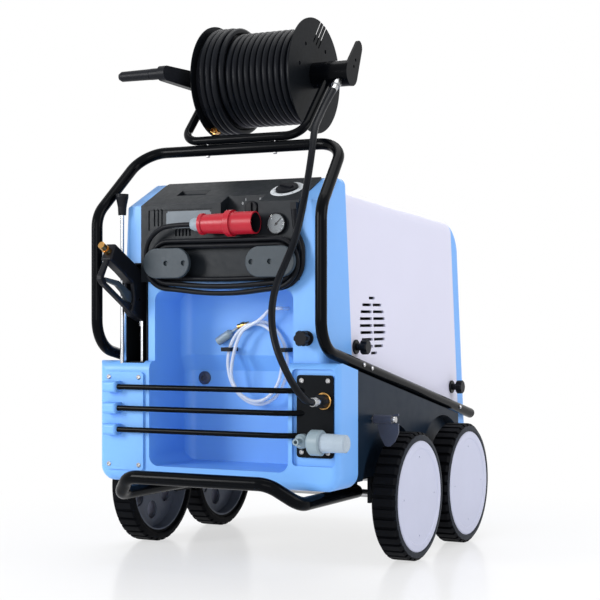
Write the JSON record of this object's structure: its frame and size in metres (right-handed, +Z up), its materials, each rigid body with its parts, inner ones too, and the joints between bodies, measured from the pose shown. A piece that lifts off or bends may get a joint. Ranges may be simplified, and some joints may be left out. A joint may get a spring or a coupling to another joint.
{
  "type": "pressure washer",
  "caption": "Wheeled hot-water pressure washer with a moulded body, tube frame, hose reel with crank, stowed spray gun, lance, cable and hoses",
  "frame": {"origin": "on the floor under the middle of the machine, without its cable and supply hose", "axes": "+Z up, +X to the right as seen from the front, +Y towards the rear"},
  "size_m": [0.818, 1.1094, 1.3699],
  "materials": {
    "tyre": "matt moulded tread",
    "wheel_grey": "satin moulded",
    "steel": "zinc plated",
    "chrome": "polished",
    "black_tube": "gloss powder coat",
    "pan_steel": "satin paint",
    "hood_white": "satin",
    "body_blue": "satin moulded",
    "panel_grey": "satin paint",
    "console": "fine grain",
    "black_plastic": "fine grain",
    "trigger_grey": "satin",
    "gauge_case": "gloss",
    "needle": "matt",
    "brass": "turned",
    "inlet_grey": "moulded",
    "clear_plastic": "clear",
    "fitting_clear": "clear moulded",
    "cable_rubber": "matt sheath",
    "hose_rubber": "semi-matt cover",
    "plug_red": "satin moulded",
    "cap_red": "gloss moulded",
    "brake_steel": "grey paint",
    "cast_metal": "ribbed casting",
    "pump_metal": "machined",
    "jacket_steel": "sheet",
    "tank_plastic": "blown",
    "box_grey": "moulded"
  },
  "bodies": {
    "front_right_wheel": {"tyre_front_right": "tyre", "wheel_front_right": "wheel_grey"},
    "front_left_wheel": {"tyre_front_left": "tyre", "wheel_front_left": "wheel_grey"},
    "rear_right_wheel": {"tyre_rear_right": "tyre", "wheel_rear_right": "wheel_grey"},
    "rear_left_wheel": {"tyre_rear_left": "tyre", "wheel_rear_left": "wheel_grey"},
    "reel": {"reel_drum": "black_plastic", "hose_core": "black_plastic", "hose_winding": "hose_rubber", "hose_end": "brass", "crank_arm": "black_plastic"},
    "grip": {"crank_grip": "black_plastic"},
    "gun": {"gun_body": "black_plastic", "gun_fittings": "brass"},
    "trigger": {"gun_trigger": "trigger_grey"},
    "spare_lance": {"lance": "chrome", "lance_nozzle": "black_plastic"},
    "brake": {"brake_lever": "brake_steel"},
    "union_nut": {"outlet_nut": "chrome"},
    "filler_cap": {"fuel_cap": "cap_red"},
    "switch_knob": {"main_switch": "black_plastic"},
    "dial": {"thermostat_dial": "black_plastic"},
    "needle": {"gauge_needle": "needle"},
    "bowl": {"filter_bowl": "clear_plastic"},
    "root": {"axles": "steel", "fasteners": "steel", "reel_swivel": "chrome", "foot_bar": "black_tube", "frame_tube": "black_tube", "reel_frame": "black_tube", "guard_bars": "black_tube", "mounting_plates": "black_tube", "chassis_pan": "pan_steel", "lance_tray": "pan_steel", "hood": "hood_white", "rear_panel": "body_blue", "front_housing": "body_blue", "side_panels": "panel_grey", "control_panel": "console", "cable_hooks": "black_plastic", "hand_screws": "black_plastic", "cable_gland": "black_plastic", "pressure_gauge": "gauge_case", "outlet_fitting": "brass", "plug_pins": "brass", "water_inlet": "inlet_grey", "suction_hose": "clear_plastic", "suction_fittings": "fitting_clear", "cable_coil": "cable_rubber", "cable_tail": "cable_rubber", "supply_hose": "hose_rubber", "plug_body": "plug_red", "motor": "cast_metal", "pump": "pump_metal", "boiler": "jacket_steel", "fuel_tank": "tank_plastic", "float_tank": "tank_plastic", "switch_box": "box_grey"}
  },
  "joints": [
    {"name": "front_right_roll", "type": "hinge", "parent": "root", "child": "front_right_wheel", "pos_m": [0.376, -0.092, 0.16], "axis": [1, 0, 0], "continuous": true},
    {"name": "front_left_roll", "type": "hinge", "parent": "root", "child": "front_left_wheel", "pos_m": [-0.376, -0.092, 0.16], "axis": [1, 0, 0], "continuous": true},
    {"name": "rear_right_roll", "type": "hinge", "parent": "root", "child": "rear_right_wheel", "pos_m": [0.376, 0.251, 0.16], "axis": [1, 0, 0], "continuous": true},
    {"name": "rear_left_roll", "type": "hinge", "parent": "root", "child": "rear_left_wheel", "pos_m": [-0.376, 0.251, 0.16], "axis": [1, 0, 0], "continuous": true},
    {"name": "reel_turn", "type": "hinge", "parent": "root", "child": "reel", "pos_m": [0, -0.122, 1.223], "axis": [1, 0, 0], "continuous": true},
    {"name": "grip_spin", "type": "hinge", "parent": "reel", "child": "grip", "pos_m": [-0.245, -0.329, 1.223], "axis": [1, 0, 0], "continuous": true},
    {"name": "gun_pull", "type": "slide", "parent": "root", "child": "gun", "axis": [0, -1, 0], "range_m": [0, 0.12]},
    {"name": "trigger_squeeze", "type": "hinge", "parent": "gun", "child": "trigger", "pos_m": [-0.24, -0.392, 0.65], "axis": [-1, 0, 0], "range_deg": [0, 8], "stiffness_Nm_per_rad": 1.2, "springref_deg": -2.86},
    {"name": "lance_lift", "type": "slide", "parent": "root", "child": "spare_lance", "axis": [0, 0, 1], "range_m": [0, 0.2]},
    {"name": "brake_swing", "type": "hinge", "parent": "root", "child": "brake", "pos_m": [0.36, -0.205, 0.357], "axis": [1, 0, 0], "range_deg": [0, 29]},
    {"name": "union_nut_turn", "type": "hinge", "parent": "root", "child": "union_nut", "pos_m": [0.297, -0.424, 0.41], "axis": [0, 1, 0], "continuous": true},
    {"name": "fuel_cap_turn", "type": "hinge", "parent": "root", "child": "filler_cap", "pos_m": [0.18, 0.51718, 0.8571], "axis": [0, 0.7071, 0.7071], "continuous": true},
    {"name": "main_switch_turn", "type": "hinge", "parent": "root", "child": "switch_knob", "pos_m": [0.074, -0.352, 0.872], "axis": [0, 1, 0], "range_deg": [0, 90]},
    {"name": "thermostat_turn", "type": "hinge", "parent": "root", "child": "dial", "pos_m": [0.157, -0.326, 0.9165], "axis": [0, -0.4528, 0.8916], "range_deg": [0, 270]},
    {"name": "gauge_needle_swing", "type": "hinge", "parent": "root", "child": "needle", "pos_m": [0.163, -0.393, 0.829], "axis": [0, 1, 0], "range_deg": [0, 135], "stiffness_Nm_per_rad": 0.0005},
    {"name": "filter_bowl_turn", "type": "hinge", "parent": "root", "child": "bowl", "pos_m": [0.31, -0.44, 0.315], "axis": [1, 0, 0], "continuous": true}
  ]
}
